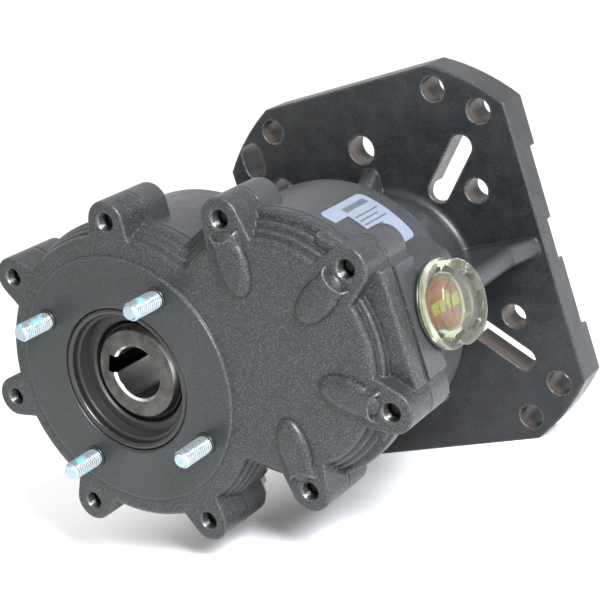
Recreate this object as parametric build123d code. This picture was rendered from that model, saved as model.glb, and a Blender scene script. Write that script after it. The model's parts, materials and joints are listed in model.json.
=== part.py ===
"""Speed-reducing gearbox between a petrol engine and a high-pressure pump.

Frame, millimetres: the origin is on the output (pump) axis in the pump mounting
face. The shafts run along Y, the pump bolts on at -Y and the engine at +Y.
+X points from the output axis to the input (engine) axis and +Z is up.
"""
import os
from math import acos, atan2, cos, degrees, pi, radians, sin, sqrt, tan

from build123d import *

# ---------------------------------------------------------------- driving sizes
CENTRE_X = 77.0            # distance from output axis to input axis

# pump side of the cover
STUD_SQUARE = 65.1         # side of the stud square (92 mm bolt circle)
STUD_R = 4.0               # M8
STUD_OUT = 17.5            # stud length standing out of the pump face
STUD_IN = 12.0
PILOT_R = 32.75            # 65.5 mm pilot recess
PILOT_DEPTH = 3.6
DISC_R = 56.0              # raised machined disc round the pilot
LUG_FACE_Y = 1.5           # cast front face of cover and lugs
SEAL_BORE_R = 28.0
SEAL_Y = 9.5
SEAL_LEN = 7.0

# outline of cover and housing
PARTING_Y = 17.5
GASKET_T = 0.5
LUG_R = 9.2
PUMP_LUG_R = 70.5          # radius of the five lug holes round the output axis
PUMP_LUG_ANGLES = (75, 130, 180, 230, 285)
ENGINE_LUG_R = 58.5        # radius of the four lug holes round the input axis
ENGINE_LUG_ANGLES = (90, 30, -30, -90)
SIDE_FLAT_X = 137.4        # flat side between the two end lugs
HOUSING_LUG_Y = 33.5       # rear face of the housing lugs
TERRACES = ((LUG_FACE_Y, 64.5, 50.0, 2.6), (6.0, 66.0, 52.3, 1.3), (9.5, 67.2, 54.8, 1.6),
            (13.0, 68.4, 58.6, 2.0))   # front y, radius at pump end, at engine end, edge round
COVER_WALL = 5.5

# cover screws, socket head M8 x 18 from behind
SCREW_R = 4.0
SCREW_PITCH = 1.25
SCREW_SEAT_Y = 25.0
SCREW_LEN = 18.0
SCREW_PLAIN = 4.0          # unthreaded part under the head
SCREW_HEAD_R = 6.5
SCREW_HEAD_H = 8.0
SCREW_KEY_AF = 6.0
SCREW_GAP = 0.5            # round the shank in the housing lugs
THREAD_DEPTH = 0.6
THREAD_SEEN_Y = 6.5        # the lug threads are open in front of the screw ends
DOWEL_R, DOWEL_IN = 2.0, 5.5
DOWEL_CIRCLE_R = 64.0
DOWEL_ANGLES = (155, -105)

# housing casting
DRUM_ENGINE_R = 57.0
DRUM_ENGINE_Y = 68.0
DRUM_PUMP_R = 66.0
DRUM_PUMP_Y = 75.0
PUMP_CAVITY_R = 60.0
ENGINE_CAVITY_R = 47.5
END_WALL = 7.0
BOSS_R_OUT = 39.0          # round the output bearings
BOSS_R_IN = 36.0           # round the front input bearing
NECK_R = 36.5
FLARE = 4.0
GLASS_PAD_X = 138.3
GLASS_PAD_Y = 61.0
GLASS_PAD_HALF_Z = 21.5

# engine flange
FLANGE_Y = 113.0           # front face of the flange
FLANGE_HALF_W = 75.0
FLANGE_HALF_H = 87.3
FLANGE_CORNER_R = 98.0
PAD_Y = 130.0              # engine mounting face: the four corner pads
PLATE_Y = 125.5            # rear of the plate between the pads
CHANNEL_Y = 122.0          # bottom of the cross channel
PAD_HALF_Z = 41.0
ENGINE_PILOT_R = 73.025    # 5-3/4 in engine spigot
CHANNEL_HALF_Z = 9.0
OUTER_HOLE_CIRCLE_R = 88.5
OUTER_HOLE_ANGLES = (45, 60)
OUTER_SLOT_X, OUTER_SLOT_Z, OUTER_SLOT_LEN = 60.5, 66.0, 6.5   # slots on the -X side
INNER_HOLE_CIRCLE_R = 58.5
FLANGE_HOLE_R = 5.5
TOP_HOLE_R = 6.5
SLOT_R_IN, SLOT_R_OUT = 46.04, 70.0
SLOT_HALF_W = 5.2

# gears: module 2 spur, 24 on the engine shaft and 53 on the pump shaft
MODULE = 2.0
PINION_TEETH = 24
GEAR_TEETH = 53
PRESSURE_ANGLE = 20.0
TOOTH_THINNING = 0.09      # taken off each tooth at the pitch circle
PINION_Y = (30.0, 54.0)
GEAR_Y = (32.0, 52.0)
GEAR_SEAT_R = 25.0
GEAR_KEY_W, GEAR_KEY_Z = 10.0, (21.0, 28.3)

# bearings: bore r, outer r, width, ball r, balls
BEARING_45 = (22.5, 34.0, 12.0, 3.4, 18)
BEARING_40 = (20.0, 31.0, 12.0, 3.2, 17)
OUT_FRONT_Y, OUT_REAR_Y = 18.0, 55.0
IN_FRONT_Y, IN_REAR_Y = 9.0, 74.0
RACE_GAP = 0.05
RUN_GAP = 0.03             # seal lip to shaft

# shafts
OUT_SHAFT_Y = (8.5, 66.5)
OUT_BORE_R = 12.0          # 24 mm pump shaft
OUT_BORE_END_Y = 60.5      # a sealing plug closes the bore behind this
PLUG_DISC_R = 13.0
OUT_KEY_W, OUT_KEY_TOP = 8.0, 15.3
OUT_KEY_ANGLE = 153.0
IN_SHAFT_Y = (8.0, 104.0)
IN_BORE_R = 12.71          # 1 in engine shaft
IN_BORE_FRONT_Y = 38.0
IN_KEY_W, IN_KEY_TOP = 6.38, 15.6
IN_SEAL_Y, IN_SEAL_LEN = 92.5, 8.0

# oil sight glass on the +X side
GLASS_Y = 40.0
GLASS_THREAD_R = 13.0
GLASS_FLANGE_R = 18.4
GLASS_END_X = 152.0
GLASS_AF = 31.0

# filler and drain plugs, M16
PLUG_THREAD_R = 8.0
PLUG_Y = 50.0
FILLER_ANGLE, DRAIN_ANGLE = 155.0, -90.0
PLUG_SEAT_R = 68.6
PLUG_BOSS_R = 13.5

# rating label, a blank film wrapped on the engine end of the drum
LABEL_MID_ANGLE = 42.6
LABEL_WIDE, LABEL_LONG = 30.0, 31.5
LABEL_MID_Y = 39.7
LABEL_T = 0.3


# --------------------------------------------------------------------- helpers
def front_plane(y):
    """Sketch plane seen from the pump side: local x = X, local y = Z."""
    return Plane(origin=(0, y, 0), x_dir=(1, 0, 0), z_dir=(0, -1, 0))


def prism(sketch, y0, y1):
    """Sketch in X,Z pulled from y0 to y1."""
    return extrude(front_plane(y1) * sketch, amount=y1 - y0, dir=(0, -1, 0))


def turned(points, x=0.0, z=0.0):
    """Solid of revolution about a Y axis at (x, z); points are (radius, y)."""
    face = make_face(Polyline(*points, close=True))
    return Pos(x, 0, z) * revolve(face, Axis.Y)


def disc(radius, y0, y1, x=0.0, z=0.0):
    return turned([(0, y0), (radius, y0), (radius, y1), (0, y1)], x, z)


def ring(r_in, r_out, y0, y1, x=0.0, z=0.0, bevel=0.0):
    """Ring with bevelled outer and inner edges."""
    b = bevel
    if b == 0:
        return turned([(r_in, y0), (r_out, y0), (r_out, y1), (r_in, y1)], x, z)
    return turned([(r_in + b, y0), (r_out - b, y0), (r_out, y0 + b), (r_out, y1 - b),
                   (r_out - b, y1), (r_in + b, y1), (r_in, y1 - b), (r_in, y0 + b)], x, z)


def polar(radius, angle, x=0.0):
    return x + radius * cos(radians(angle)), radius * sin(radians(angle))


def lug_points():
    """(x, z, direction in degrees) of the nine lug holes."""
    pump = [(*polar(PUMP_LUG_R, a), a) for a in PUMP_LUG_ANGLES]
    engine = [(*polar(ENGINE_LUG_R, a, CENTRE_X), a) for a in ENGINE_LUG_ANGLES]
    return pump + engine


def lug_sketch(x, z, angle, radius):
    """Round-ended lug whose straight sides run tangentially and widen towards the casting."""
    reach, taper = 20.0, radians(10)
    tx, tz = radius * sin(taper), radius * cos(taper)
    root = tz + (tx + reach) * tan(taper)
    body = Polygon((tx, tz), (-reach, root), (-reach, -root), (tx, -tz), align=None)
    return Pos(x, z) * Rot(0, 0, angle) * (Circle(radius) + body)


def body_sketch(r_pump, r_engine):
    return Circle(r_pump) + Pos(CENTRE_X, 0) * Circle(r_engine)


def side_sketch(x_flat, r_engine):
    """Flat +X side running tangentially off the round engine end."""
    a = radians(50)
    tx, tz = CENTRE_X + r_engine * cos(a), r_engine * sin(a)
    tz_flat = tz - (x_flat - tx) / tan(a)
    return Polygon((CENTRE_X, 0), (tx, tz), (x_flat, tz_flat), (x_flat, -tz_flat), (tx, -tz), align=None)


def closed_corners(sketch, radius):
    """Rounds the inside corners of a sketch."""
    grown = offset(sketch, amount=radius, kind=Kind.ARC)
    return offset(grown, amount=-radius, kind=Kind.ARC)


def front_edges(part, y):
    return part.edges().filter_by(lambda e: abs(e.center().Y - y) < 1e-3
                                  and abs(e.bounding_box().size.Y) < 1e-3)


def rounded_at(part, y, radius):
    """Rounds the outline edges of the end face at y."""
    return fillet(front_edges(part, y), radius)


def thread_points(r_major, y0, y1, pitch, depth):
    """Saw-tooth side of a threaded rod from y0 to y1."""
    count = max(1, int((y1 - y0) / pitch))
    step = (y1 - y0) / count
    points = []
    for i in range(count):
        y = y0 + i * step
        points += [(r_major - depth, y), (r_major, y + 0.38 * step), (r_major, y + 0.62 * step)]
    return points + [(r_major - depth, y1)]


def hexagon(across_flats):
    return RegularPolygon(across_flats / sqrt(3), 6)


def save(name, part):
    part.label = name
    export_step(part, f"parts/{name}.step")


def group(parts):
    return Compound(children=list(parts))


# ---------------------------------------------------------------- gear profile
def involute_flank(r_base, r_from, r_to, count=7):
    """(radius, polar angle) pairs on an involute from r_from to r_to."""
    pairs = []
    for i in range(count):
        r = r_from + (r_to - r_from) * i / (count - 1)
        alpha = acos(min(1.0, r_base / r))
        pairs.append((r, tan(alpha) - alpha))
    return pairs


def gear_sketch(teeth, phase):
    """Full-depth 20 degree spur gear; one tooth is centred on the phase angle."""
    r_pitch = MODULE * teeth / 2
    r_base = r_pitch * cos(radians(PRESSURE_ANGLE))
    r_tip, r_root = r_pitch + MODULE, r_pitch - 1.25 * MODULE
    r_start = max(r_base, r_root + 0.3)
    pressure = radians(PRESSURE_ANGLE)
    half = (pi * MODULE / 2 - TOOTH_THINNING) / 2 / r_pitch + tan(pressure) - pressure
    flank = involute_flank(r_base, r_start, r_tip)

    def at(r, a):
        return r * cos(a), r * sin(a)

    edges = []
    for i in range(teeth):
        mid = radians(phase) + 2 * pi * i / teeth
        nxt = mid + 2 * pi / teeth
        rising = [at(r, mid - half + inv) for r, inv in flank]
        falling = [at(r, mid + half - inv) for r, inv in reversed(flank)]
        foot_in, foot_out = at(r_root, mid - half), at(r_root, mid + half)
        edges += [Line(foot_in, rising[0]), Spline(*rising),
                  ThreePointArc(rising[-1], at(r_tip, mid), falling[0]),
                  Spline(*falling), Line(falling[-1], foot_out),
                  ThreePointArc(foot_out, at(r_root, (mid + nxt) / 2), at(r_root, nxt - half))]
    return make_face(Wire(edges))


# -------------------------------------------------------------------- bearings
def bearing(spec, y0, x):
    """Inner ring, outer ring, balls and cage of a deep-groove ball bearing."""
    r_in, r_out, width, r_ball, count = spec
    pitch, mid = (r_in + r_out) / 2, y0 + width / 2
    groove = Pos(x, mid, 0) * Rot(90, 0, 0) * Torus(pitch, r_ball + RACE_GAP)
    inner = ring(r_in, pitch - 0.6 * r_ball, y0, y0 + width, x, 0, 0.5) - groove
    outer = ring(pitch + 0.6 * r_ball, r_out, y0, y0 + width, x, 0, 0.5) - groove
    spots = [polar(pitch, 360 * i / count, x) for i in range(count)]
    balls = [Pos(px, mid, pz) * Sphere(r_ball) for px, pz in spots]
    half = r_ball + 1.0
    cage = ring(pitch - 0.8, pitch + 0.8, mid - half, mid + half, x)
    for i in range(count):
        a = radians(360 * i / count)
        pocket = Plane(origin=(x, mid, 0), x_dir=(0, 1, 0), z_dir=(cos(a), 0, sin(a))).offset(pitch - 2)
        cage -= extrude(pocket * Circle(r_ball + 0.1), amount=4)
    return inner, outer, group(balls), cage


def shaft_seal(r_shaft, r_bore, y0, length, x, lip_side):
    """Rubber-covered lip seal and its garter spring; lip_side +1 faces +Y."""
    wall, web = 1.8, 2.2
    r_lip = r_shaft + RUN_GAP
    y1 = y0 + length

    def way(y):
        return y if lip_side > 0 else y0 + y1 - y

    body = [(r_bore, y0), (r_lip + 2.0, y0), (r_lip + 1.2, y0 + 1.0), (r_lip + 1.2, y1 - 3.2),
            (r_lip, y1 - 2.2), (r_lip + 1.0, y1 - 0.8), (r_lip + 3.2, y1 - 0.8),
            (r_lip + 3.2, y0 + web), (r_bore - wall, y0 + web), (r_bore - wall, y1), (r_bore, y1)]
    spring_y, spring_r = way(y1 - 1.9), r_lip + 3.2
    spring = Pos(x, spring_y, 0) * Rot(90, 0, 0) * Torus(spring_r, 0.7)
    body = turned([(r, way(y)) for r, y in body], x) - spring
    return body, spring


# ----------------------------------------------------------------- front cover
def stud_points():
    h = STUD_SQUARE / 2
    return [(sx * h, sz * h) for sx in (-1, 1) for sz in (-1, 1)]


def raised_boss(angle):
    """Tapered rounded boss running from an engine-end lug towards the input axis."""
    half_w, tip_r, tip, height, edge, spotface = 6.8, 3.6, 30.6, 3.0, 2.8, 8.6
    root = Pos(ENGINE_LUG_R - 7.0, 0) * Circle(half_w)
    outline = make_hull(root.edges() + (Pos(tip, 0) * Circle(tip_r)).edges())
    flat = Pos(CENTRE_X, 0) * Rot(0, 0, angle) * outline
    top = LUG_FACE_Y - height
    boss = rounded_at(prism(flat, top, LUG_FACE_Y + 1.0), top, edge)
    x, z = polar(ENGINE_LUG_R, angle, CENTRE_X)
    return boss - disc(spotface, top - 1.0, LUG_FACE_Y + 1.0, x, z)


def front_cover():
    back = PARTING_Y - GASKET_T / 2
    cover = None
    ends = [y + 2.2 for y, _, _, _ in TERRACES[1:]] + [back]
    for (y, r_pump, r_engine, edge), end in zip(TERRACES, ends):
        shape = closed_corners(body_sketch(r_pump, r_engine), 3.0)
        layer = rounded_at(prism(shape, y, end), y, edge)
        cover = layer if cover is None else cover + layer
    side = rounded_at(prism(side_sketch(SIDE_FLAT_X, 57.0), 9.5, back), 9.5, 1.5)
    cover += side
    for x, z, angle in lug_points():
        lug = prism(lug_sketch(x, z, angle, LUG_R), LUG_FACE_Y, back)
        cover += rounded_at(lug, LUG_FACE_Y, 0.9)
    cover += rounded_at(prism(Circle(DISC_R), 0, LUG_FACE_Y + 1), 0, 0.6)
    for angle in ENGINE_LUG_ANGLES:
        cover += raised_boss(angle)

    # inside: oil space, bearing bosses, stud bosses
    space = prism(body_sketch(PUMP_CAVITY_R - 2, ENGINE_CAVITY_R), LUG_FACE_Y + COVER_WALL, back)
    keep = disc(BOSS_R_OUT, 0, back) + disc(BOSS_R_IN, 0, back, CENTRE_X)
    for x, z in stud_points():
        keep += disc(8.0, 0, STUD_IN + 3, x, z)
    cover -= space - keep
    out_end = OUT_FRONT_Y + BEARING_45[2]
    in_end = IN_FRONT_Y + BEARING_40[2]
    cover += ring(30.0, BOSS_R_OUT, back - 1, out_end) + ring(30.0, BOSS_R_IN, back - 1, in_end, CENTRE_X)
    cover -= disc(BEARING_45[1], OUT_FRONT_Y, out_end)
    cover -= turned([(0, -1), (PILOT_R + 0.6, -1), (PILOT_R + 0.6, 0), (PILOT_R, 0.6), (PILOT_R, PILOT_DEPTH),
                     (SEAL_BORE_R + 0.4, PILOT_DEPTH), (SEAL_BORE_R, PILOT_DEPTH + 0.4),
                     (SEAL_BORE_R, SEAL_Y + SEAL_LEN), (30.5, SEAL_Y + SEAL_LEN), (30.5, OUT_FRONT_Y),
                     (0, OUT_FRONT_Y)])
    cover -= disc(BEARING_40[1], IN_FRONT_Y, in_end, CENTRE_X)
    cover -= disc(24.0, IN_FRONT_Y - 2.5, IN_FRONT_Y, CENTRE_X)

    # threaded holes for the cover screws and the pump studs
    for x, z, _ in lug_points():
        side = thread_points(SCREW_R, LUG_FACE_Y, THREAD_SEEN_Y, SCREW_PITCH, THREAD_DEPTH)
        behind = [(SCREW_R, THREAD_SEEN_Y), (SCREW_R, back), (0, back)]
        cover -= turned([(0, LUG_FACE_Y)] + side + behind, x, z)
        cover -= turned([(0, LUG_FACE_Y), (SCREW_R + 0.5, LUG_FACE_Y), (SCREW_R - 0.4, LUG_FACE_Y + 0.9),
                         (0, LUG_FACE_Y + 0.9)], x, z)
    for x, z in stud_points():
        cover -= turned([(0, 0), (STUD_R + 0.8, 0), (STUD_R, 0.8), (STUD_R, STUD_IN), (0, STUD_IN)], x, z)
    for x, z in dowel_points():
        cover -= disc(DOWEL_R, back - DOWEL_IN, back, x, z)
    return cover


def dowel_points():
    return [polar(DOWEL_CIRCLE_R, angle) for angle in DOWEL_ANGLES]


# --------------------------------------------------------------- rear housing
def flange_outline():
    arc = Circle(FLANGE_CORNER_R) & Rectangle(2 * FLANGE_HALF_W, 2 * FLANGE_HALF_H)
    return Pos(CENTRE_X, 0) * arc


def rounded_rib(face, half_t, across, reach, edge):
    """Flat face made into a rib of twice half_t, rounded along its edges beyond reach from the input axis."""
    solid = extrude(face, amount=half_t, dir=across, both=True)

    def is_outer(e):
        mid = e.center()
        along = abs(e.tangent_at(0.5).dot(Vector(across))) < 0.5
        return along and sqrt((mid.X - CENTRE_X) ** 2 + mid.Z ** 2) > reach and mid.Y < FLANGE_Y

    return fillet([e for e in solid.edges() if is_outer(e)], edge)


def flange_holes():
    """All through holes and slots of the engine flange, as one cutter sketch."""
    cut = Sketch()
    for sx in (-1, 1):
        for sz in (-1, 1):
            for angle in OUTER_HOLE_ANGLES if sx > 0 else OUTER_HOLE_ANGLES[1:]:
                x, z = polar(OUTER_HOLE_CIRCLE_R, angle)
                cut += Pos(CENTRE_X + sx * x, sz * z) * Circle(FLANGE_HOLE_R)
            angle = degrees(atan2(sz, sx))
            length = SLOT_R_OUT - SLOT_R_IN
            cut += Pos(CENTRE_X, 0) * Rot(0, 0, angle) * Pos((SLOT_R_IN + SLOT_R_OUT) / 2, 0) * \
                SlotCenterToCenter(length, 2 * SLOT_HALF_W)
    for sz in (-1, 1):
        cut += Pos(CENTRE_X - OUTER_SLOT_X, sz * OUTER_SLOT_Z) * Rot(0, 0, 90) * \
            SlotCenterToCenter(OUTER_SLOT_LEN, 2 * FLANGE_HOLE_R)
        for angle in (30, 150):
            x, z = polar(INNER_HOLE_CIRCLE_R, angle, CENTRE_X)
            cut += Pos(x, sz * z) * Circle(FLANGE_HOLE_R)
        cut += Pos(CENTRE_X, sz * INNER_HOLE_CIRCLE_R) * Circle(TOP_HOLE_R)
    return cut


def plug_place(angle):
    """Plane on the seat of a plug: local z points outwards."""
    x, z = polar(PLUG_SEAT_R, angle)
    return Plane(origin=(x, PLUG_Y, z), x_dir=(0, 1, 0), z_dir=(cos(radians(angle)), 0, sin(radians(angle))))


def glass_pad():
    """Flat pad for the sight glass on the round engine end."""
    high, reach = GLASS_PAD_HALF_Z, 50.0
    outline = Polygon((CENTRE_X, high + 5), (CENTRE_X + reach, high + 5), (GLASS_PAD_X, high - 5),
                      (GLASS_PAD_X, 5 - high), (CENTRE_X + reach, -high - 5), (CENTRE_X, -high - 5), align=None)
    outline = fillet(outline.vertices().filter_by(lambda v: v.X > CENTRE_X + 1), 5.0)
    return rounded_at(prism(outline, PARTING_Y + GASKET_T / 2, GLASS_PAD_Y), GLASS_PAD_Y, 2.0)


def housing_shell():
    """Outer body of the housing: drum, rim, lugs and sight glass pad."""
    front = PARTING_Y + GASKET_T / 2
    shell = prism(closed_corners(body_sketch(DRUM_PUMP_R, DRUM_ENGINE_R), 6.0), front, DRUM_ENGINE_Y)
    shell = rounded_at(shell, DRUM_ENGINE_Y, 5.0)
    shell += rounded_at(disc(DRUM_PUMP_R, front, DRUM_PUMP_Y), DRUM_PUMP_Y, 6.0)
    rim = prism(closed_corners(body_sketch(TERRACES[-1][1], TERRACES[-1][2]), 3.0), front, front + 4.0)
    shell += rounded_at(rim, front + 4.0, 1.5)
    for x, z, angle in lug_points():
        shell += rounded_at(prism(lug_sketch(x, z, angle, LUG_R), front, HOUSING_LUG_Y), HOUSING_LUG_Y, 1.5)
    side = prism(side_sketch(GLASS_PAD_X, DRUM_ENGINE_R), front, HOUSING_LUG_Y)
    shell += rounded_at(side, HOUSING_LUG_Y, 1.5)
    return shell + glass_pad()


def neck_and_flange():
    """Neck round the input shaft, its fillet, and the flange plate with its corner pads."""
    steps = 8
    turns = [radians(90 * i / steps) for i in range(steps + 1)]
    fillet_side = [(NECK_R + FLARE * (1 - cos(t)), FLANGE_Y - FLARE * (1 - sin(t))) for t in turns]
    root_y = DRUM_ENGINE_Y - 8
    neck = turned([(0, root_y), (NECK_R, root_y)] + fillet_side + [(0, FLANGE_Y)], CENTRE_X)
    plate = rounded_at(prism(flange_outline(), FLANGE_Y, PLATE_Y), FLANGE_Y, 0.8)
    pad_sketch = flange_outline() - Pos(CENTRE_X, 0) * Circle(ENGINE_PILOT_R)
    pads = prism(pad_sketch - Pos(CENTRE_X, 0) * Rectangle(200, 2 * PAD_HALF_Z), PLATE_Y - 1, PAD_Y)
    channel = prism(Pos(CENTRE_X, 0) * Rectangle(200, 2 * CHANNEL_HALF_Z), CHANNEL_Y, PAD_Y + 1)
    return neck + plate + pads - channel


def ribs():
    """Four ribs from the body to the flange, each with a swelling foot on the flange."""
    half_t, edge, end = 4.5, 3.2, FLANGE_Y + 1
    side = [(31, 60), (61, 60), (65, 67), (65.5, 101), (73, end), (31, end)]
    right = make_face(Polyline(*[(CENTRE_X + r, y) for r, y in side], close=True))
    left = make_face(Polyline(*[(CENTRE_X - r, y) for r, y in side], close=True))
    both = [rounded_rib(face, half_t, (0, 0, 1), 60, edge) for face in (right, left)]
    for s in (-1, 1):
        outline = [(30, 60), (47, 60), (42.5, 92), (43.5, 103), (50, end), (30, end)]
        face = make_face(Polyline(*[(CENTRE_X, y, s * z) for z, y in outline], close=True))
        both.append(rounded_rib(face, half_t, (1, 0, 0), 41, edge))
    return both[0] + both[1:]


def input_tunnel():
    """Cutter for the input shaft's way, its rear bearing and seal seat, and the open engine side."""
    seat_end = IN_SEAL_Y + IN_SEAL_LEN + 0.5
    start = DRUM_ENGINE_Y - 10
    r_seat = BEARING_40[1]
    clip_y, clip_w, clip_in = IN_REAR_Y + BEARING_40[2], 2.5, 1.5
    return turned([(0, start), (r_seat - 2.5, start), (r_seat - 2.5, IN_REAR_Y), (r_seat, IN_REAR_Y),
                   (r_seat, clip_y), (r_seat + clip_in, clip_y), (r_seat + clip_in, clip_y + clip_w),
                   (r_seat, clip_y + clip_w), (r_seat, seat_end), (r_seat + 2, seat_end + 2), (34, 112),
                   (46, 119), (46, PAD_Y + 1), (0, PAD_Y + 1)], CENTRE_X)


def rear_housing():
    front = PARTING_Y + GASKET_T / 2
    shell = housing_shell() + neck_and_flange() + ribs()
    for angle in (FILLER_ANGLE, DRAIN_ANGLE):
        shell += extrude(plug_place(angle) * Circle(PLUG_BOSS_R), amount=-9)

    # oil space, with the rear output bearing's boss left standing in it
    cavity = disc(PUMP_CAVITY_R, front, DRUM_PUMP_Y - END_WALL - 1)
    cavity += disc(ENGINE_CAVITY_R, front, DRUM_ENGINE_Y - END_WALL, CENTRE_X)
    shell -= cavity - disc(BOSS_R_OUT, OUT_REAR_Y - 2, DRUM_PUMP_Y)
    out_end = OUT_REAR_Y + BEARING_45[2]
    shell -= disc(BEARING_45[1], OUT_REAR_Y - 3, out_end)
    shell -= disc(27.0, OUT_REAR_Y, out_end + 3)
    shell -= input_tunnel()

    # holes
    shell -= prism(flange_holes(), FLANGE_Y - 3, PAD_Y + 1)
    for x, z, _ in lug_points():
        shell -= disc(SCREW_R + SCREW_GAP, front, SCREW_SEAT_Y, x, z)
        shell -= disc(SCREW_HEAD_R + 0.4, SCREW_SEAT_Y, HOUSING_LUG_Y + 0.2, x, z)
    for x, z in dowel_points():
        shell -= disc(DOWEL_R, front, front + DOWEL_IN, x, z)
    for angle in (FILLER_ANGLE, DRAIN_ANGLE):
        shell -= extrude(plug_place(angle) * Circle(PLUG_THREAD_R), amount=-12)
    glass = Plane(origin=(GLASS_PAD_X, GLASS_Y, 0), x_dir=(0, 1, 0), z_dir=(1, 0, 0))
    return shell - extrude(glass * Circle(GLASS_THREAD_R), amount=-20)


# -------------------------------------------------------------- small parts
def cover_gasket():
    y0, y1 = PARTING_Y - GASKET_T / 2, PARTING_Y + GASKET_T / 2
    gasket = prism(closed_corners(body_sketch(TERRACES[-1][1], TERRACES[-1][2]), 3.0), y0, y1)
    gasket += prism(side_sketch(SIDE_FLAT_X, DRUM_ENGINE_R), y0, y1)
    for x, z, angle in lug_points():
        gasket += prism(lug_sketch(x, z, angle, LUG_R), y0, y1)
    gasket -= disc(PUMP_CAVITY_R, y0, y1) + disc(ENGINE_CAVITY_R, y0, y1, CENTRE_X)
    for x, z, _ in lug_points():
        gasket -= disc(SCREW_R + SCREW_GAP, y0, y1, x, z)
    for x, z in dowel_points():
        gasket -= disc(DOWEL_R, y0, y1, x, z)
    return gasket


def cover_screw(x, z):
    tip, top = SCREW_SEAT_Y - SCREW_LEN, SCREW_SEAT_Y + SCREW_HEAD_H
    neck, bevel = SCREW_SEAT_Y - SCREW_PLAIN, 0.7
    side = thread_points(SCREW_R, tip + 0.8, neck, SCREW_PITCH, THREAD_DEPTH)
    head = [(SCREW_HEAD_R, SCREW_SEAT_Y), (SCREW_HEAD_R, top - bevel), (SCREW_HEAD_R - bevel, top), (0, top)]
    outline = [(0, tip), (SCREW_R - 1, tip)] + side + [(SCREW_R, neck), (SCREW_R, SCREW_SEAT_Y)] + head
    return turned(outline, x, z) - prism(Pos(x, z) * hexagon(SCREW_KEY_AF), top - 4.5, top + 1)


def pump_stud(x, z):
    side = thread_points(STUD_R, -STUD_OUT + 1.0, STUD_IN, SCREW_PITCH, THREAD_DEPTH)
    return turned([(0, -STUD_OUT), (2.9, -STUD_OUT)] + side + [(0, STUD_IN)], x, z)


def plug(angle, vent):
    """Hexagon plug with collar, modelled on its seat."""
    place = plug_place(angle)
    body = extrude(place * Circle(PLUG_THREAD_R), amount=-10)
    body += extrude(place.offset(1.5) * Circle(11.5), amount=3)
    body += extrude(place.offset(4.0) * hexagon(17.0), amount=6.5)
    body += extrude(place * Circle(PLUG_THREAD_R), amount=2)
    if vent:
        body -= extrude(place.offset(10.5) * Circle(1.5), amount=-25)
    else:
        body -= extrude(place.offset(10.5) * hexagon(8.0), amount=-5)
    washer = extrude(place * (Circle(11.0) - Circle(PLUG_THREAD_R)), amount=1.5)
    return body, washer


def sight_glass():
    """Clear body, its O-ring and the two-part reflector behind the window."""
    base = Plane(origin=(0, GLASS_Y, 0), x_dir=(0, 1, 0), z_dir=(1, 0, 0))

    def at(x):
        return base.offset(x)

    ring_x = GLASS_PAD_X + 2.0
    body = extrude(at(ring_x) * Circle(GLASS_FLANGE_R), amount=3.2)
    body += extrude(at(ring_x + 3.0) * hexagon(GLASS_AF), amount=GLASS_END_X - ring_x - 3.0)
    body += extrude(at(128.0) * Circle(GLASS_THREAD_R), amount=ring_x - 127.0)
    rim = [(GLASS_FLANGE_R, 120), (GLASS_FLANGE_R, 146.5), (GLASS_FLANGE_R - 0.6, 149.0),
           (GLASS_FLANGE_R - 2.2, 151.2), (GLASS_FLANGE_R - 4.2, GLASS_END_X)]
    envelope = revolve(make_face(Polyline((0, 120), *rim, (0, GLASS_END_X), close=True)), Axis.Y)
    body = body & (Pos(0, GLASS_Y, 0) * Rot(0, 0, -90) * envelope)
    body -= extrude(at(127.0) * Circle(10.6), amount=20.0)
    body -= extrude(at(GLASS_END_X - 2.5) * Circle(11.4), amount=4)
    o_ring = Pos(GLASS_PAD_X + 1.0, GLASS_Y, 0) * Rot(0, 90, 0) * Torus(17.0, 1.0)
    disc_x = 139.0
    red = extrude(at(disc_x) * Circle(10.6), amount=1.2)
    bar = extrude(at(disc_x + 1.2) * Rectangle(20.0, 5.0), amount=0.5)
    return body, o_ring, red, bar


def rating_label():
    """Film with rounded corners wrapped on the drum, cut out round the lug."""
    a = radians(LABEL_MID_ANGLE)
    y0, y1 = LABEL_MID_Y - LABEL_LONG, LABEL_MID_Y + LABEL_LONG
    film = ring(DRUM_ENGINE_R + 0.03, DRUM_ENGINE_R + LABEL_T, y0, y1, CENTRE_X)
    outward = Plane(origin=(CENTRE_X, LABEL_MID_Y, 0), x_dir=(0, 1, 0), z_dir=(cos(a), 0, sin(a)))
    film = film & extrude(outward * RectangleRounded(LABEL_LONG, LABEL_WIDE, 3.0), amount=80)
    far, lug_end = 90.0, 49.5
    notch = Polygon((0, 0), polar(far, 10), polar(far, lug_end), align=None)
    return film - prism(Pos(CENTRE_X, 0) * notch, y0, HOUSING_LUG_Y + 0.3)


# --------------------------------------------------------------------- shafts
def keyed(width, top, angle, x, y0, y1):
    key = Rot(0, 0, angle) * Pos(top / 2, 0) * Rectangle(top, width)
    return prism(Pos(x, 0) * key, y0, y1)


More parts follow.
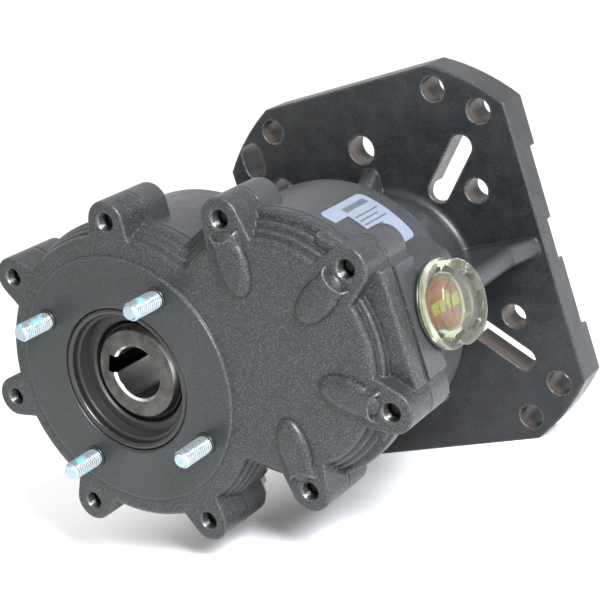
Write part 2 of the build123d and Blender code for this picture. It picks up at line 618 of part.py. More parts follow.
def output_shaft():
    y0, y1 = OUT_SHAFT_Y
    r = BEARING_45[0]
    b = 2.5
    clip_y = GEAR_Y[1]
    collar_r, groove_r = GEAR_SEAT_R + 3, GEAR_SEAT_R - 1.5
    collar_y = OUT_FRONT_Y + BEARING_45[2]
    shaft = turned([(0, y0), (r - b, y0), (r, y0 + b), (r, collar_y), (collar_r, collar_y),
                    (collar_r, GEAR_Y[0]), (GEAR_SEAT_R, GEAR_Y[0]), (GEAR_SEAT_R, clip_y), (groove_r, clip_y),
                    (groove_r, clip_y + 2), (GEAR_SEAT_R, clip_y + 2), (GEAR_SEAT_R, OUT_REAR_Y),
                    (r, OUT_REAR_Y), (r, y1 - 1), (r - 1, y1), (0, y1)])
    end = OUT_BORE_END_Y
    shaft -= turned([(0, y0), (OUT_BORE_R + 1, y0), (OUT_BORE_R, y0 + 1), (OUT_BORE_R, end),
                     (PLUG_DISC_R, end), (PLUG_DISC_R, y1), (0, y1)])
    shaft -= keyed(OUT_KEY_W, OUT_KEY_TOP, OUT_KEY_ANGLE, 0, y0, end - 2)
    return shaft - gear_key()


def gear_key():
    """Parallel key between output shaft and gear, on the +Z side."""
    low, high = GEAR_KEY_Z
    bar = Pos(0, (low + high) / 2) * Rectangle(GEAR_KEY_W, high - low)
    return prism(bar, GEAR_Y[0] + 0.5, GEAR_Y[1] - 0.5)


def output_gear():
    y0, y1 = GEAR_Y
    gear = prism(gear_sketch(GEAR_TEETH, 0), y0, y1)
    gear -= disc(GEAR_SEAT_R, y0, y1)
    gear -= ring(31.0, 46.0, y0, y0 + 5) + ring(31.0, 46.0, y1 - 5, y1)
    for i in range(6):
        x, z = polar(38.5, 30 + 60 * i)
        gear -= disc(5.0, y0, y1, x, z)
    slot = prism(Pos(0, GEAR_KEY_Z[1] - 2.65) * Rectangle(GEAR_KEY_W, 5.3), y0, y1)
    return gear - slot


def input_pinion():
    y0, y1 = IN_SHAFT_Y
    r = BEARING_40[0]
    clip_y, front_y = IN_REAR_Y + BEARING_40[2], IN_FRONT_Y + BEARING_40[2]
    body_r, groove_r = 22.5, r - 1.25
    body = turned([(0, y0), (r - 1, y0), (r, y0 + 1), (r, front_y), (body_r, front_y),
                   (body_r, PINION_Y[0]), (21.0, PINION_Y[0]), (21.0, PINION_Y[1]), (body_r, PINION_Y[1]),
                   (body_r, IN_REAR_Y), (r, IN_REAR_Y), (r, clip_y), (groove_r, clip_y),
                   (groove_r, clip_y + 1.75), (r, clip_y + 1.75), (r, y1 - 1.5), (r - 1.5, y1), (0, y1)], CENTRE_X)
    teeth = prism(Pos(CENTRE_X, 0) * gear_sketch(PINION_TEETH, 180 + 180 / PINION_TEETH), *PINION_Y)
    pinion = body + teeth
    pinion -= turned([(0, IN_BORE_FRONT_Y), (IN_BORE_R, IN_BORE_FRONT_Y), (IN_BORE_R, y1 - 1),
                      (IN_BORE_R + 1, y1), (0, y1)], CENTRE_X)
    return pinion - keyed(IN_KEY_W, IN_KEY_TOP, 90, CENTRE_X, IN_BORE_FRONT_Y + 4, y1)


def open_clip(r_in, r_out, y0, y1, x, gap_angle):
    """Retaining ring with a gap."""
    far = r_out + 5
    gap = Polygon((0, 0), polar(far, gap_angle - 14), polar(far, gap_angle + 14), align=None)
    return ring(r_in, r_out, y0, y1, x) - prism(Pos(x, 0) * gap, y0 - 1, y1 + 1)


# ----------------------------------------------------------------------- build
def main():
    os.makedirs("parts", exist_ok=True)
    save("rear_housing", rear_housing())
    save("front_cover", front_cover())
    save("cover_gasket", cover_gasket())
    save("cover_screws", group(cover_screw(x, z) for x, z, _ in lug_points()))
    half = DOWEL_IN + GASKET_T / 2
    pins = [disc(DOWEL_R, PARTING_Y - half, PARTING_Y + half, x, z) for x, z in dowel_points()]
    save("dowel_pins", group(pins))
    save("pump_studs", group(pump_stud(x, z) for x, z in stud_points()))

    o_r = 1.55
    save("pilot_o_ring", Pos(0, PILOT_DEPTH - o_r, 0) * Rot(90, 0, 0) * Torus(PILOT_R - o_r, o_r))
    seal, spring = shaft_seal(BEARING_45[0], SEAL_BORE_R, SEAL_Y, SEAL_LEN, 0, 1)
    save("output_seal", seal)
    save("output_seal_spring", spring)
    seal, spring = shaft_seal(BEARING_40[0], BEARING_40[1], IN_SEAL_Y, IN_SEAL_LEN, CENTRE_X, -1)
    save("input_seal", seal)
    save("input_seal_spring", spring)

    bearings = (("output_front", BEARING_45, OUT_FRONT_Y, 0),
                ("output_rear", BEARING_45, OUT_REAR_Y, 0),
                ("input_front", BEARING_40, IN_FRONT_Y, CENTRE_X),
                ("input_rear", BEARING_40, IN_REAR_Y, CENTRE_X))
    for name, spec, y, x in bearings:
        inner, outer, balls, cage = bearing(spec, y, x)
        save(name + "_inner_ring", inner)
        save(name + "_outer_ring", outer)
        save(name + "_balls", balls)
        save(name + "_cage", cage)

    save("output_shaft", output_shaft())
    save("output_gear", output_gear())
    save("output_gear_key", gear_key())
    save("output_gear_circlip", open_clip(GEAR_SEAT_R - 1.5, 29.0, GEAR_Y[1], GEAR_Y[1] + 2, 0, 90))
    save("output_shaft_plug", disc(PLUG_DISC_R, OUT_BORE_END_Y, OUT_BORE_END_Y + 3))
    save("input_pinion", input_pinion())
    clip_y = IN_REAR_Y + BEARING_40[2]
    save("input_shaft_circlip", open_clip(BEARING_40[0] - 1.25, 23.5, clip_y, clip_y + 1.75, CENTRE_X, 90))
    save("input_housing_circlip", open_clip(27.6, BEARING_40[1] + 1.5, clip_y, clip_y + 2.5, CENTRE_X, 270))

    body, o_ring, red, bar = sight_glass()
    save("sight_glass", body)
    save("sight_glass_o_ring", o_ring)
    save("sight_reflector", red)
    save("sight_level_bar", bar)
    for name, angle, vent in (("filler", FILLER_ANGLE, True), ("drain", DRAIN_ANGLE, False)):
        body, washer = plug(angle, vent)
        save(name + "_plug", body)
        save(name + "_washer", washer)
    save("rating_label", rating_label())


main()
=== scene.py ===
"""Looks of the reduction gearbox: materials, finer pieces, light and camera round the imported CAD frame."""
import json
import math

import bpy
from mathutils import Matrix, Vector


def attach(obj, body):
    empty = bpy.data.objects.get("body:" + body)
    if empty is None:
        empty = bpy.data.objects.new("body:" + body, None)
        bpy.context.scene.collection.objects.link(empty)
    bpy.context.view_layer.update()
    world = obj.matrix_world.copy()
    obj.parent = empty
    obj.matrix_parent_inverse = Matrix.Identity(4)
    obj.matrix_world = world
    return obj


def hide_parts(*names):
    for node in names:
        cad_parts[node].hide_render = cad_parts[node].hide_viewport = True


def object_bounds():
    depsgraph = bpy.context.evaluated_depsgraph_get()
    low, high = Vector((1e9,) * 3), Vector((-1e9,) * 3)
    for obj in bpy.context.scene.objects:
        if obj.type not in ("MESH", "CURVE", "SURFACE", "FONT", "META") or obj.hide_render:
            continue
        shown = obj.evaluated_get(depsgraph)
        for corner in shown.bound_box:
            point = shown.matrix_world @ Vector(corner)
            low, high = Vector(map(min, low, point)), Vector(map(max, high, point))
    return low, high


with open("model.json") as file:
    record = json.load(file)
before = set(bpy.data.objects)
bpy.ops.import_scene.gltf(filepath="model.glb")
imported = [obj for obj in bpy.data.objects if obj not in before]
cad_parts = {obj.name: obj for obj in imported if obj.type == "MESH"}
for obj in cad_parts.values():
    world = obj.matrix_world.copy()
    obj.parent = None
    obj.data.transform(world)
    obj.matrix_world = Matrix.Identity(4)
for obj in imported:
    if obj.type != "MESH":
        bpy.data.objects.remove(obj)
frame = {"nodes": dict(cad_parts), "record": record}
cad_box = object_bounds()
nodes = frame["nodes"]
MM = 0.001
BODY = "housing"                      # the body that every added piece rides on
MIX_A, MIX_B, MIX_RESULT = 6, 7, 2    # the Mix node's colour sockets

# ------------------------------------------------------------------ material tools


class Graph:
    """A material's node tree. An input that is given a socket is linked, and any other value is set."""

    def __init__(self, name):
        self.material = bpy.data.materials.new(name)
        self.material.use_nodes = True
        self.tree = self.material.node_tree
        self.shader = self.tree.nodes["Principled BSDF"]
        self.place = self.add("TexCoord").outputs["Object"]

    def put(self, socket, value):
        if isinstance(value, bpy.types.NodeSocket):
            self.tree.links.new(value, socket)
        else:
            socket.default_value = value

    def add(self, kind, inputs=None, **settings):
        node = self.tree.nodes.new("ShaderNode" + kind)
        for key, value in settings.items():
            setattr(node, key, value)
        for key, value in (inputs or {}).items():
            self.put(node.inputs[key], value)
        return node

    def noise(self, size_mm, detail=2.0, roughness=0.5, place=None):
        """Cloudy noise from 0 to 1 whose blotches are about size_mm across."""
        inputs = {"Vector": place or self.place, "Scale": 1000.0 / size_mm,
                  "Detail": detail, "Roughness": roughness}
        return self.add("TexNoise", inputs).outputs["Fac"]

    def remap(self, value, low, high, to_low=0.0, to_high=1.0):
        """Value carried from low..high to to_low..to_high and clamped there; low may be the larger."""
        inputs = {"Value": value, "From Min": low, "From Max": high, "To Min": to_low, "To Max": to_high}
        return self.add("MapRange", inputs).outputs["Result"]

    def above(self, value, mm, blur_mm):
        """1 where a length is over mm and 0 where it is under, blurred by blur_mm each way."""
        return self.remap(value, (mm - blur_mm) * MM, (mm + blur_mm) * MM)

    def below(self, value, mm, blur_mm):
        """1 where a length is under mm and 0 where it is over, blurred by blur_mm each way."""
        return self.remap(value, (mm + blur_mm) * MM, (mm - blur_mm) * MM)

    def math(self, operation, a, b=0.0):
        node = self.add("Math", operation=operation)
        self.put(node.inputs[0], a)
        self.put(node.inputs[1], b)
        return node.outputs[0]

    def mix(self, factor, a, b):
        """Colour a where factor is 0 and b where it is 1."""
        node = self.add("Mix", data_type="RGBA")
        self.put(node.inputs["Factor"], factor)
        for socket, value in ((node.inputs[MIX_A], a), (node.inputs[MIX_B], b)):
            self.put(socket, value if isinstance(value, bpy.types.NodeSocket) else (*value, 1.0))
        return node.outputs[MIX_RESULT]

    def grey(self, value):
        return self.add("CombineXYZ", {"X": value, "Y": value, "Z": value}).outputs[0]

    def axis(self, name):
        return self.add("SeparateXYZ", {"Vector": self.place}).outputs[name]

    def rounded(self, radius_mm):
        """Normal with edges rounded off, for shading."""
        return self.add("Bevel", {"Radius": radius_mm * MM}, samples=6).outputs["Normal"]

    def edge(self, radius_mm):
        """1 along convex edges and 0 on open faces and in corners."""
        inputs = {"Distance": radius_mm * MM}
        node = self.add("AmbientOcclusion", inputs, inside=True, only_local=True, samples=8)
        return self.remap(node.outputs["AO"], 0.95, 0.45)

    def bump(self, height, depth_mm, normal=None, strength=1.0):
        inputs = {"Height": height, "Distance": depth_mm * MM, "Strength": strength}
        if normal is not None:
            inputs["Normal"] = normal
        return self.add("Bump", inputs).outputs["Normal"]

    def finish(self, **sockets):
        """Sets the shader's sockets, with _ for a space in their names, and returns the material."""
        for name, value in sockets.items():
            socket = self.shader.inputs[name.replace("_", " ")]
            if socket.type == "RGBA" and not isinstance(value, bpy.types.NodeSocket):
                value = (*value, 1.0)
            self.put(socket, value)
        return self.material


# ------------------------------------------------------------------ materials

# What the looks follow in the drawing, in mm.
INPUT_X = 77.0                                 # input axis; the output axis is at x 0
PUMP_LUG_R, ENGINE_LUG_R = 70.5, 58.5          # the cover's lug holes, from the output and the input axis
OUTER_HOLE_R, INNER_HOLE_R = 88.5, 58.5        # the engine flange's hole circles
SLOT_STOPS = (47.0, 52.0, 57.0, 62.0, 67.0)    # stops along each of the flange's radial slots
JOINT_Y, JOINT_HALF = 17.75, 0.8               # dark line over the gasket, and half its width
RECESS_R = 33.75                               # dark machined recess round the output axis
THREAD_Y, THREAD_R = 1.8, 4.9                  # where a lug hole's bare thread starts, and its reach
FEW_FLECKS_Y, FULL_FLECKS_Y = 75.0, 60.0       # the housing's flecks thin out between these
FLANGE_DARK_Y = 108.0                                # the flange's darker tone begins here
WALL_START_Y, WALL_END_Y, WALL_R = 113.6, 121.8, 7.4    # the flange's hole walls seen from the front
ENGINE_FACE_Y = 129.9                          # bare machined face on the engine's side
SHAFT_BORE_R, SHAFT_RIM_R = 13.0, 20.05        # zones on the output shaft's end face
LABEL_ANGLE, LABEL_R, LABEL_Y = 42.6, 57.0, 39.7


def polar(radius, angle, x=0.0):
    """(x, z) at an angle in degrees round an axis along Y through x."""
    return x + radius * math.cos(math.radians(angle)), radius * math.sin(math.radians(angle))


LUG_HOLES = ([polar(PUMP_LUG_R, a) for a in (75, 130, 180, 230, 285)]
             + [polar(ENGINE_LUG_R, a, INPUT_X) for a in (90, 30, -30, -90)])
FLANGE_WALLS = ([polar(r, a, INPUT_X) for a in (45, 135, 225, 315) for r in SLOT_STOPS]
                + [polar(OUTER_HOLE_R, a, INPUT_X) for a in (45, -45, 60, -60, 120, -120)]
                + [polar(INNER_HOLE_R, a, INPUT_X) for a in (30, -30, 150, 210, 90, -90)])


def near_holes(g, holes, radius_mm):
    """1 inside radius_mm of an axis along Y through any (x, z) in holes."""
    flat = g.add("CombineXYZ", {"X": g.axis("X"), "Z": g.axis("Z")}).outputs[0]
    nearest = None
    for x, z in holes:
        node = g.add("VectorMath", {0: flat}, operation="DISTANCE")
        node.inputs[1].default_value = (x * MM, 0.0, z * MM)
        distance = node.outputs["Value"]
        nearest = distance if nearest is None else g.math("MINIMUM", nearest, distance)
    return g.below(nearest, radius_mm, 0.05)


def cast_paint(name, dark, light, fleck, grain_mm, metal_holes=(), flange=None):
    """Satin paint on a sand casting: fine grain, faint flecks, edges rubbed pale and lightened as a painted
    highlight, a dark joint line.

    metal_holes adds bare threads at these (x, z) and a dark recess round the output axis. flange is a pair of
    darker tones for the engine flange, and it also adds brown hole walls and a bare face on the engine's
    side.
    """
    pale_fleck, dark_fleck, rubbed_and_highlight_tone = (0.17, 0.18, 0.18), (0.006, 0.007, 0.008), (0.30, 0.31, 0.33)
    g = Graph(name)
    colour = g.mix(g.remap(g.noise(26.0, 3.0), 0.35, 0.65), dark, light)
    y = g.axis("Y")
    amount = fleck
    if flange is not None:
        # darker blotchy tones on the engine flange from y 108 mm on
        darker_tone = g.mix(g.remap(g.noise(14.0, 4.0, 0.6), 0.4, 0.7), flange[0], flange[1])
        colour = g.mix(g.above(y, FLANGE_DARK_Y, 4.0), colour, darker_tone)
        amount = g.math("MULTIPLY", g.remap(y, FEW_FLECKS_Y * MM, FULL_FLECKS_Y * MM, 0.35, 1.0), fleck)
    fine = g.noise(0.40, 1.0, 0.5)
    colour = g.mix(g.math("MULTIPLY", g.remap(fine, 0.55, 0.70), amount), colour, pale_fleck)
    colour = g.mix(g.math("MULTIPLY", g.remap(fine, 0.47, 0.32), amount), colour, dark_fleck)
    # convex edges lightened in colour: partly rubbed wear, partly a painted highlight standing in for edge
    # glints
    rub_and_highlight = g.math("MULTIPLY", g.edge(1.1), g.remap(g.noise(0.8, 3.0, 0.7), 0.36, 0.60))
    colour = g.mix(g.math("MULTIPLY", rub_and_highlight, 0.45), colour, rubbed_and_highlight_tone)
    joint = g.below(g.math("ABSOLUTE", g.math("SUBTRACT", y, JOINT_Y * MM)), JOINT_HALF, 0.2)
    dots = g.remap(g.noise(0.8, 1.0), 0.66, 0.74)
    colour = g.mix(joint, colour, g.mix(dots, (0.006, 0.006, 0.006), (0.22, 0.22, 0.23)))
    metallic = g.math("MULTIPLY", rub_and_highlight, 0.5)
    rough = g.remap(g.noise(5.0, 3.0), 0.3, 0.7, 0.33, 0.42)
    if metal_holes:
        flat = g.add("CombineXYZ", {"X": g.axis("X"), "Z": g.axis("Z")}).outputs[0]
        reach = g.add("VectorMath", {0: flat}, operation="LENGTH").outputs["Value"]
        turning = g.noise(0.3, 2.0, 0.5, g.add("CombineXYZ", {"X": reach, "Y": y}).outputs[0])
        turned = g.mix(turning, (0.010, 0.010, 0.010), (0.024, 0.024, 0.023))
        colour = g.mix(g.below(reach, RECESS_R, 0.25), colour, turned)
        bare = g.math("MULTIPLY", near_holes(g, metal_holes, THREAD_R), g.above(y, THREAD_Y, 0.1))
        colour = g.mix(bare, colour, g.mix(g.noise(0.8, 3.0), (0.05, 0.05, 0.05), (0.24, 0.24, 0.24)))
        metallic = g.math("MAXIMUM", metallic, bare)
        rough = g.mix(bare, g.grey(rough), (0.28, 0.28, 0.28))
    if flange is not None:
        inside = g.math("MULTIPLY", g.above(y, WALL_START_Y, 0.2), g.below(y, WALL_END_Y, 0.1))
        wall = g.math("MULTIPLY", inside, near_holes(g, FLANGE_WALLS, WALL_R))
        rust = g.mix(g.noise(2.0, 4.0, 0.6), (0.05, 0.030, 0.020), (0.12, 0.075, 0.05))
        colour = g.mix(g.math("MULTIPLY", wall, 0.4), colour, rust)
        face = g.above(y, ENGINE_FACE_Y, 0.05)
        colour = g.mix(face, colour, g.mix(g.noise(5.0, 3.0), (0.34, 0.33, 0.32), (0.46, 0.45, 0.44)))
        metallic = g.math("MAXIMUM", metallic, face)
    normal = g.bump(g.noise(grain_mm, 2.0, 0.6), 0.035, g.rounded(1.3), 0.5)
    normal = g.bump(fine, 0.02, normal, 0.7)
    return g.finish(Base_Color=colour, Roughness=rough, Metallic=metallic, Normal=normal,
                    Specular_IOR_Level=0.38)


def plain_metal(name, dark, light, rough, metallic=1.0):
    """Bare or plated metal with faint blotches and fine marks."""
    g = Graph(name)
    colour = g.mix(g.noise(4.8, 3.0, 0.6), dark, light)
    marks = g.noise(1.2, 4.0, 0.7)
    return g.finish(Base_Color=colour, Metallic=metallic,
                    Roughness=g.remap(marks, 0.3, 0.7, rough * 0.8, rough * 1.25),
                    Normal=g.bump(marks, 0.004, g.rounded(0.2)))


def turned_metal(name, dark, light, rough, centre_x_mm, face=None):
    """Steel turned about an axis along Y through centre_x_mm.

    face is a pair of stain tones for the end face outside the bore, with a paler rim round it.
    """
    g = Graph(name)
    x = g.math("SUBTRACT", g.axis("X"), centre_x_mm * MM)
    z = g.axis("Z")
    radius = g.math("SQRT", g.math("ADD", g.math("MULTIPLY", x, x), g.math("MULTIPLY", z, z)))
    ring = g.add("CombineXYZ", {"X": radius, "Y": g.axis("Y")}).outputs[0]
    lines = g.noise(0.22, 3.0, 0.6, ring)
    colour = g.mix(g.noise(6.0, 3.0, 0.6), dark, light)
    sockets = {}
    if face is not None:
        darker_tone = g.mix(g.remap(g.noise(7.0, 4.0, 0.6), 0.35, 0.7), face[0], face[1])
        rim = g.mix(g.noise(3.0, 3.0), (0.20, 0.195, 0.19), (0.30, 0.29, 0.28))
        outside = g.mix(g.above(radius, SHAFT_RIM_R, 0.05), darker_tone, rim)
        colour = g.mix(g.above(radius, SHAFT_BORE_R, 0.05), colour, outside)
        sockets["Tangent"] = g.add("Tangent", direction_type="RADIAL", axis="Y").outputs[0]
    return g.finish(Base_Color=colour, Metallic=1.0, Anisotropic=0.6,
                    Roughness=g.remap(lines, 0.3, 0.7, rough * 0.75, rough * 1.25),
                    Normal=g.bump(lines, 0.005, g.rounded(0.25)), **sockets)


def rubber(name, dark, light, rough):
    """Black rubber with faint marks."""
    g = Graph(name)
    colour = g.mix(g.noise(3.0, 3.0), dark, light)
    marks = g.noise(0.35, 3.0, 0.6)
    return g.finish(Base_Color=colour, Roughness=g.remap(marks, 0.3, 0.7, rough * 0.85, rough * 1.2),
                    Normal=g.bump(marks, 0.01))


def stud_zinc():
    """Bright zinc thread with blotches of pale blue thread lock."""
    g = Graph("zinc_stud")
    zinc = g.mix(g.noise(2.0, 3.0), (0.30, 0.34, 0.37), (0.50, 0.55, 0.58))
    lock = g.remap(g.noise(5.5, 4.0, 0.62), 0.53, 0.64)
    colour = g.mix(g.math("MULTIPLY", lock, 0.85), zinc, (0.10, 0.42, 0.62))
    rough = g.math("ADD", g.remap(g.noise(0.6, 3.0), 0.3, 0.7, 0.22, 0.38), g.math("MULTIPLY", lock, 0.2))
    return g.finish(Base_Color=colour, Metallic=g.remap(lock, 0.0, 1.0, 1.0, 0.5), Roughness=rough,
                    Normal=g.bump(g.noise(0.5, 3.0), 0.006))


def clear_plastic():
    """Clear moulded plastic, faintly milky and yellow-green."""
    g = Graph("clear_plastic")
    haze = g.noise(4.0, 3.0)
    colour = g.mix(haze, (0.52, 0.53, 0.46), (0.43, 0.46, 0.32))
    return g.finish(Base_Color=colour, Roughness=g.remap(haze, 0.3, 0.7, 0.08, 0.16),
                    Transmission_Weight=0.93, IOR=1.22, Normal=g.bump(g.noise(2.5, 2.0), 0.008))


def gloss_plastic(name, dark, light):
    """Opaque glossy plastic."""
    g = Graph(name)
    colour = g.mix(g.noise(2.5, 3.0), dark, light)
    return g.finish(Base_Color=colour, Roughness=g.remap(g.noise(1.0, 2.0), 0.3, 0.7, 0.20, 0.30),
                    Normal=g.bump(g.noise(1.2, 2.0), 0.005))


def fibre():
    """Dark gasket fibre."""
    g = Graph("gasket")
    colour = g.mix(g.noise(0.4, 4.0, 0.7), (0.010, 0.011, 0.011), (0.05, 0.052, 0.05))
    return g.finish(Base_Color=colour, Roughness=0.85, Normal=g.bump(g.noise(0.3, 3.0), 0.02))


LABEL_BARS = (             # low and high across the label, start and end along it, in mm from its middle
    (8.5, 11.5, -4.5, 12.5), (4.0, 4.8, -4.5, 12.5), (1.5, 2.3, -4.5, 9.0), (-1.0, -0.2, -4.5, 12.5),
    (-3.5, -2.7, -4.5, 6.0))


def label_film():
    """Matt bluish film with plain printed bars."""
    g = Graph("label")
    film = g.mix(g.noise(7.0, 3.0), (0.12, 0.14, 0.18), (0.16, 0.19, 0.23))
    angle = g.math("ARCTAN2", g.axis("Z"), g.math("SUBTRACT", g.axis("X"), INPUT_X * MM))
    across = g.math("MULTIPLY", g.math("SUBTRACT", angle, math.radians(LABEL_ANGLE)), LABEL_R)
    along = g.math("MULTIPLY", g.math("SUBTRACT", g.axis("Y"), LABEL_Y * MM), 1 / MM)

    def within(value, low, high):
        over = g.math("GREATER_THAN", value, low)
        return g.math("MULTIPLY", over, g.math("LESS_THAN", value, high))

    ink = None
    for low, high, start, end in LABEL_BARS:
        bar = g.math("MULTIPLY", within(across, low, high), within(along, start, end))
        ink = bar if ink is None else g.math("MAXIMUM", ink, bar)
    colour = g.mix(g.math("MULTIPLY", ink, 0.75), film, (0.03, 0.035, 0.045))
    return g.finish(Base_Color=colour, Roughness=g.remap(g.noise(2.0, 2.0), 0.3, 0.7, 0.3, 0.42),
                    Normal=g.bump(g.noise(3.0, 2.0), 0.01))


MATERIALS = {
    "housing_casting": cast_paint(
        "housing_casting", (0.020, 0.021, 0.024), (0.027, 0.028, 0.031), fleck=0.28, grain_mm=1.3,
        flange=((0.007, 0.008, 0.009), (0.015, 0.016, 0.017))),
    "cover_casting": cast_paint(
        "cover_casting", (0.009, 0.0105, 0.0105), (0.012, 0.014, 0.0145), fleck=0.46, grain_mm=0.9,
        metal_holes=LUG_HOLES),
    "gasket": fibre(),
    "black_steel": plain_metal("black_steel", (0.02, 0.02, 0.022), (0.05, 0.05, 0.055), 0.4, metallic=0.6),
    "zinc_stud": stud_zinc(),
    "zinc_plug": plain_metal("zinc_plug", (0.55, 0.54, 0.48), (0.72, 0.72, 0.68), 0.3),
    "copper_washer": plain_metal("copper_washer", (0.60, 0.30, 0.18), (0.78, 0.46, 0.30), 0.35),
    "spring_steel": plain_metal("spring_steel", (0.20, 0.20, 0.21), (0.34, 0.34, 0.35), 0.35),
    "seal_rubber": rubber("seal_rubber", (0.008, 0.008, 0.008), (0.02, 0.02, 0.02), 0.45),
    "o_ring_rubber": rubber("o_ring_rubber", (0.006, 0.006, 0.006), (0.014, 0.014, 0.014), 0.28),
    "cage_brass": plain_metal("cage_brass", (0.55, 0.40, 0.18), (0.72, 0.55, 0.28), 0.35),
    "bearing_steel": plain_metal("bearing_steel", (0.62, 0.62, 0.63), (0.74, 0.74, 0.75), 0.12),
    "turned_steel": turned_metal("turned_steel", (0.76, 0.76, 0.75), (0.88, 0.88, 0.87), 0.22, 0.0,
                                 ((0.055, 0.051, 0.046), (0.115, 0.108, 0.098))),
    "gear_steel": turned_metal("gear_steel", (0.34, 0.34, 0.35), (0.46, 0.46, 0.47), 0.28, INPUT_X),
    "clear_plastic": clear_plastic(),
    "red_reflector": gloss_plastic("red_reflector", (0.40, 0.06, 0.03), (0.55, 0.13, 0.07)),
    "yellow_bar": gloss_plastic("yellow_bar", (0.62, 0.50, 0.03), (0.80, 0.70, 0.10)),
    "label": label_film(),
}


def paint(obj, material):
    """Gives an object one material in place of any it has."""
    obj.data.materials.clear()
    obj.data.materials.append(material)


for part in frame["record"]["subparts"]:
    paint(nodes[part["node"]], MATERIALS[part["material_slot"]])

# ------------------------------------------------------------------ finer pieces


def new_piece(name, points, faces, material, sharp_degrees):
    """Mesh piece, smooth but for edges sharper than sharp_degrees; points are in mm."""
    mesh = bpy.data.meshes.new(name)
    mesh.from_pydata([tuple(v * MM for v in point) for point in points], [], faces)
    mesh.shade_smooth()
    mesh.set_sharp_from_angle(angle=math.radians(sharp_degrees))
    mesh.materials.append(material)
    piece = bpy.data.objects.new(name, mesh)
    bpy.context.scene.collection.objects.link(piece)
    return piece


def closed_skin(rows, steps):
    """Faces of a skin over rows of points, with a flat cap on the first and last row."""
    faces = []
    for row in range(rows - 1):
        a, b = row * steps, (row + 1) * steps
        for i in range(steps):
            j = (i + 1) % steps
            faces.append((a + i, b + i, b + j, a + j))
    last = (rows - 1) * steps
    return [tuple(range(steps))] + faces + [tuple(last + i for i in reversed(range(steps)))]


GLASS_CENTRE_Y, GLASS_HALF_AF = 40.0, 15.5
# x, radius and whether the hexagon cuts it: the window's front, the outside, the inner end, the window's back
GLASS_OUTLINE = (
    (149.5, 10.7, False), (149.6, 11.1, False), (151.2, 11.6, False), (151.8, 12.1, False),
    (152.0, 13.0, False), (151.9, 14.2, False), (151.4, 15.4, False), (150.5, 16.4, False),
    (149.2, 17.1, False), (147.6, 17.4, True), (144.6, 17.7, True), (143.7, 17.8, False),
    (143.4, 18.1, False), (142.9, 18.35, False), (141.1, 18.35, False), (140.6, 18.1, False),
    (140.35, 17.5, False), (140.35, 13.0, False), (128.4, 13.0, False), (128.2, 12.8, False),
    (128.2, 10.8, False), (128.4, 10.6, False), (146.4, 10.6, False), (146.9, 10.2, False),
    (147.0, 9.6, False))


def sight_glass_shell():
    """Rounder shell in place of the drawing's sight glass, turned about an axis along X."""
    steps = 96
    points = []
    for x, radius, hexagonal in GLASS_OUTLINE:
        for i in range(steps):
            turn = 2 * math.pi * i / steps
            r = radius
            if hexagonal:
                off = (turn + math.pi / 6) % (math.pi / 3) - math.pi / 6
                r = min(radius, GLASS_HALF_AF / math.cos(off))
            points.append((x, GLASS_CENTRE_Y + r * math.cos(turn), r * math.sin(turn)))
    faces = closed_skin(len(GLASS_OUTLINE), steps)
    shell = new_piece("sight_glass_shell", points, faces, MATERIALS["clear_plastic"], 40)
    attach(shell, BODY)
    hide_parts("sight_glass")


STUD_HALF = 32.55          # half the side of the studs' square


def stud_rings():
    """Dark ring round the foot of each stud."""
    across, round_it, radius, thick, middle_y = 40, 12, 4.5, 0.65, -0.35
    for number, (sx, sz) in enumerate(((-1, -1), (-1, 1), (1, -1), (1, 1)), 1):
        points, faces = [], []
        for i in range(across):
            a = 2 * math.pi * i / across
            for j in range(round_it):
                b = 2 * math.pi * j / round_it
                r = radius + thick * math.cos(b)
                y = middle_y + thick * math.sin(b)
                points.append((sx * STUD_HALF + r * math.cos(a), y, sz * STUD_HALF + r * math.sin(a)))
                here, over = i * round_it, (i + 1) % across * round_it
                k = (j + 1) % round_it
                faces.append((here + j, here + k, over + k, over + j))
        ring = new_piece(f"stud_ring_{number}", points, faces, MATERIALS["o_ring_rubber"], 60)
        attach(ring, BODY)


def lug_bosses():
    """Leaf-shaped swellings of the casting between the engine-end lug holes and the input axis."""
    middle, half_long, half_wide, height, face_y, depth = 39.8, 14.0, 7.4, 3.2, 1.5, 1.5
    steps, rows = 64, 14
    for number, angle in enumerate((90, 30, -30, -90), 1):
        ca, sa = math.cos(math.radians(angle)), math.sin(math.radians(angle))
        points = []
        for row in range(1, rows + 1):
            share = math.sin(math.pi / 2 * row / rows)
            rise = height * math.sqrt(1.0 - share ** 4) if row < rows else 0.0
            for i in range(steps):
                turn = 2 * math.pi * i / steps
                along = middle + half_long * share * math.cos(turn)
                across = half_wide * share * math.sin(turn)
                points.append((INPUT_X + along * ca - across * sa, face_y - rise, along * sa + across * ca))
        points += [(x, face_y + depth, z) for x, _, z in points[-steps:]]
        faces = closed_skin(rows + 1, steps)
        boss = new_piece(f"lug_boss_{number}", points, faces, MATERIALS["cover_casting"], 60)
        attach(boss, BODY)


sight_glass_shell()
stud_rings()
lug_bosses()

# ------------------------------------------------------------------ stage, light and camera


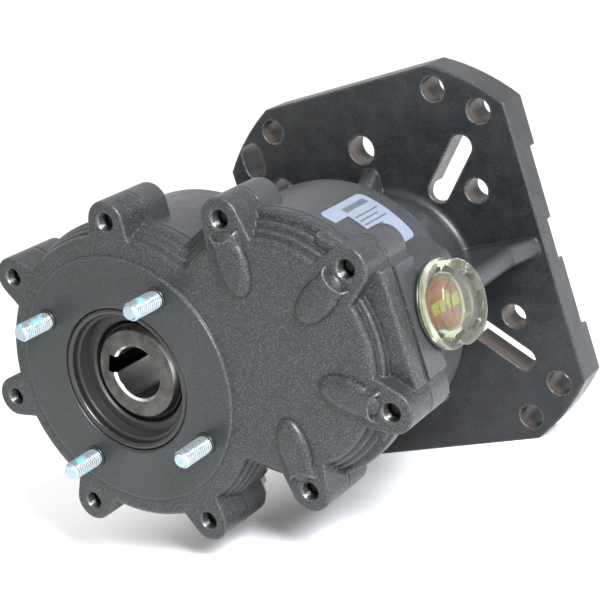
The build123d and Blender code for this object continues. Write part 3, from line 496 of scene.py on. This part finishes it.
def make_stage():
    """Wide pale floor just under the object."""
    low = cad_box[0].z
    reach = 6.0
    corners = [(-reach, -reach, low), (reach, -reach, low), (reach, reach, low), (-reach, reach, low)]
    mesh = bpy.data.meshes.new("floor")
    mesh.from_pydata(corners, [], [(0, 1, 2, 3)])
    floor = bpy.data.objects.new("floor", mesh)
    bpy.context.scene.collection.objects.link(floor)
    g = Graph("floor")
    pale = g.mix(g.noise(300.0, 2.0), (0.94, 0.94, 0.94), (0.96, 0.96, 0.96))
    mesh.materials.append(g.finish(Base_Color=pale, Roughness=0.9, Specular_IOR_Level=0.1))


def softbox(name, place, aim, size, power, colour):
    """Rectangular area light at place, turned to face aim."""
    light = bpy.data.lights.new(name, "AREA")
    light.shape = "RECTANGLE"
    light.size, light.size_y = size
    light.energy = power
    light.color = colour
    lamp = bpy.data.objects.new(name, light)
    lamp.location = place
    lamp.rotation_mode = "QUATERNION"
    lamp.rotation_quaternion = (Vector(aim) - Vector(place)).to_track_quat("-Z", "Y")
    bpy.context.scene.collection.objects.link(lamp)


def make_light():
    """One cool softbox from the front right, in a bright room."""
    middle = (0.07, 0.05, 0.0)
    softbox("key", (1.27, -0.62, 0.78), middle, (0.45, 0.7), 75.0, (0.93, 0.96, 1.0))
    world = bpy.data.worlds.new("studio")
    world.use_nodes = True
    world.node_tree.nodes["Background"].inputs["Color"].default_value = (0.99, 0.995, 1.0, 1.0)
    world.node_tree.nodes["Background"].inputs["Strength"].default_value = 1.06
    bpy.context.scene.world = world


def make_camera():
    """Camera of the reference view: low, from the front right, and rolled."""
    view = Vector((-0.59924, 0.78034, -0.17882))
    up = Vector((0.14302, 0.32412, 0.93514))
    right = view.cross(up).normalized()
    up = right.cross(view)
    turn = Matrix((right, up, -view)).transposed().to_4x4()
    camera = bpy.data.objects.new("camera", bpy.data.cameras.new("camera"))
    camera.matrix_world = Matrix.Translation((0.451469, -0.452404, 0.124902)) @ turn
    camera.data.sensor_width = 36.0
    camera.data.lens = 90.24
    camera.data.clip_start, camera.data.clip_end = 0.05, 50.0
    bpy.context.scene.collection.objects.link(camera)
    bpy.context.scene.camera = camera


make_stage()
make_light()
make_camera()
bpy.context.scene.view_settings.view_transform = "Standard"
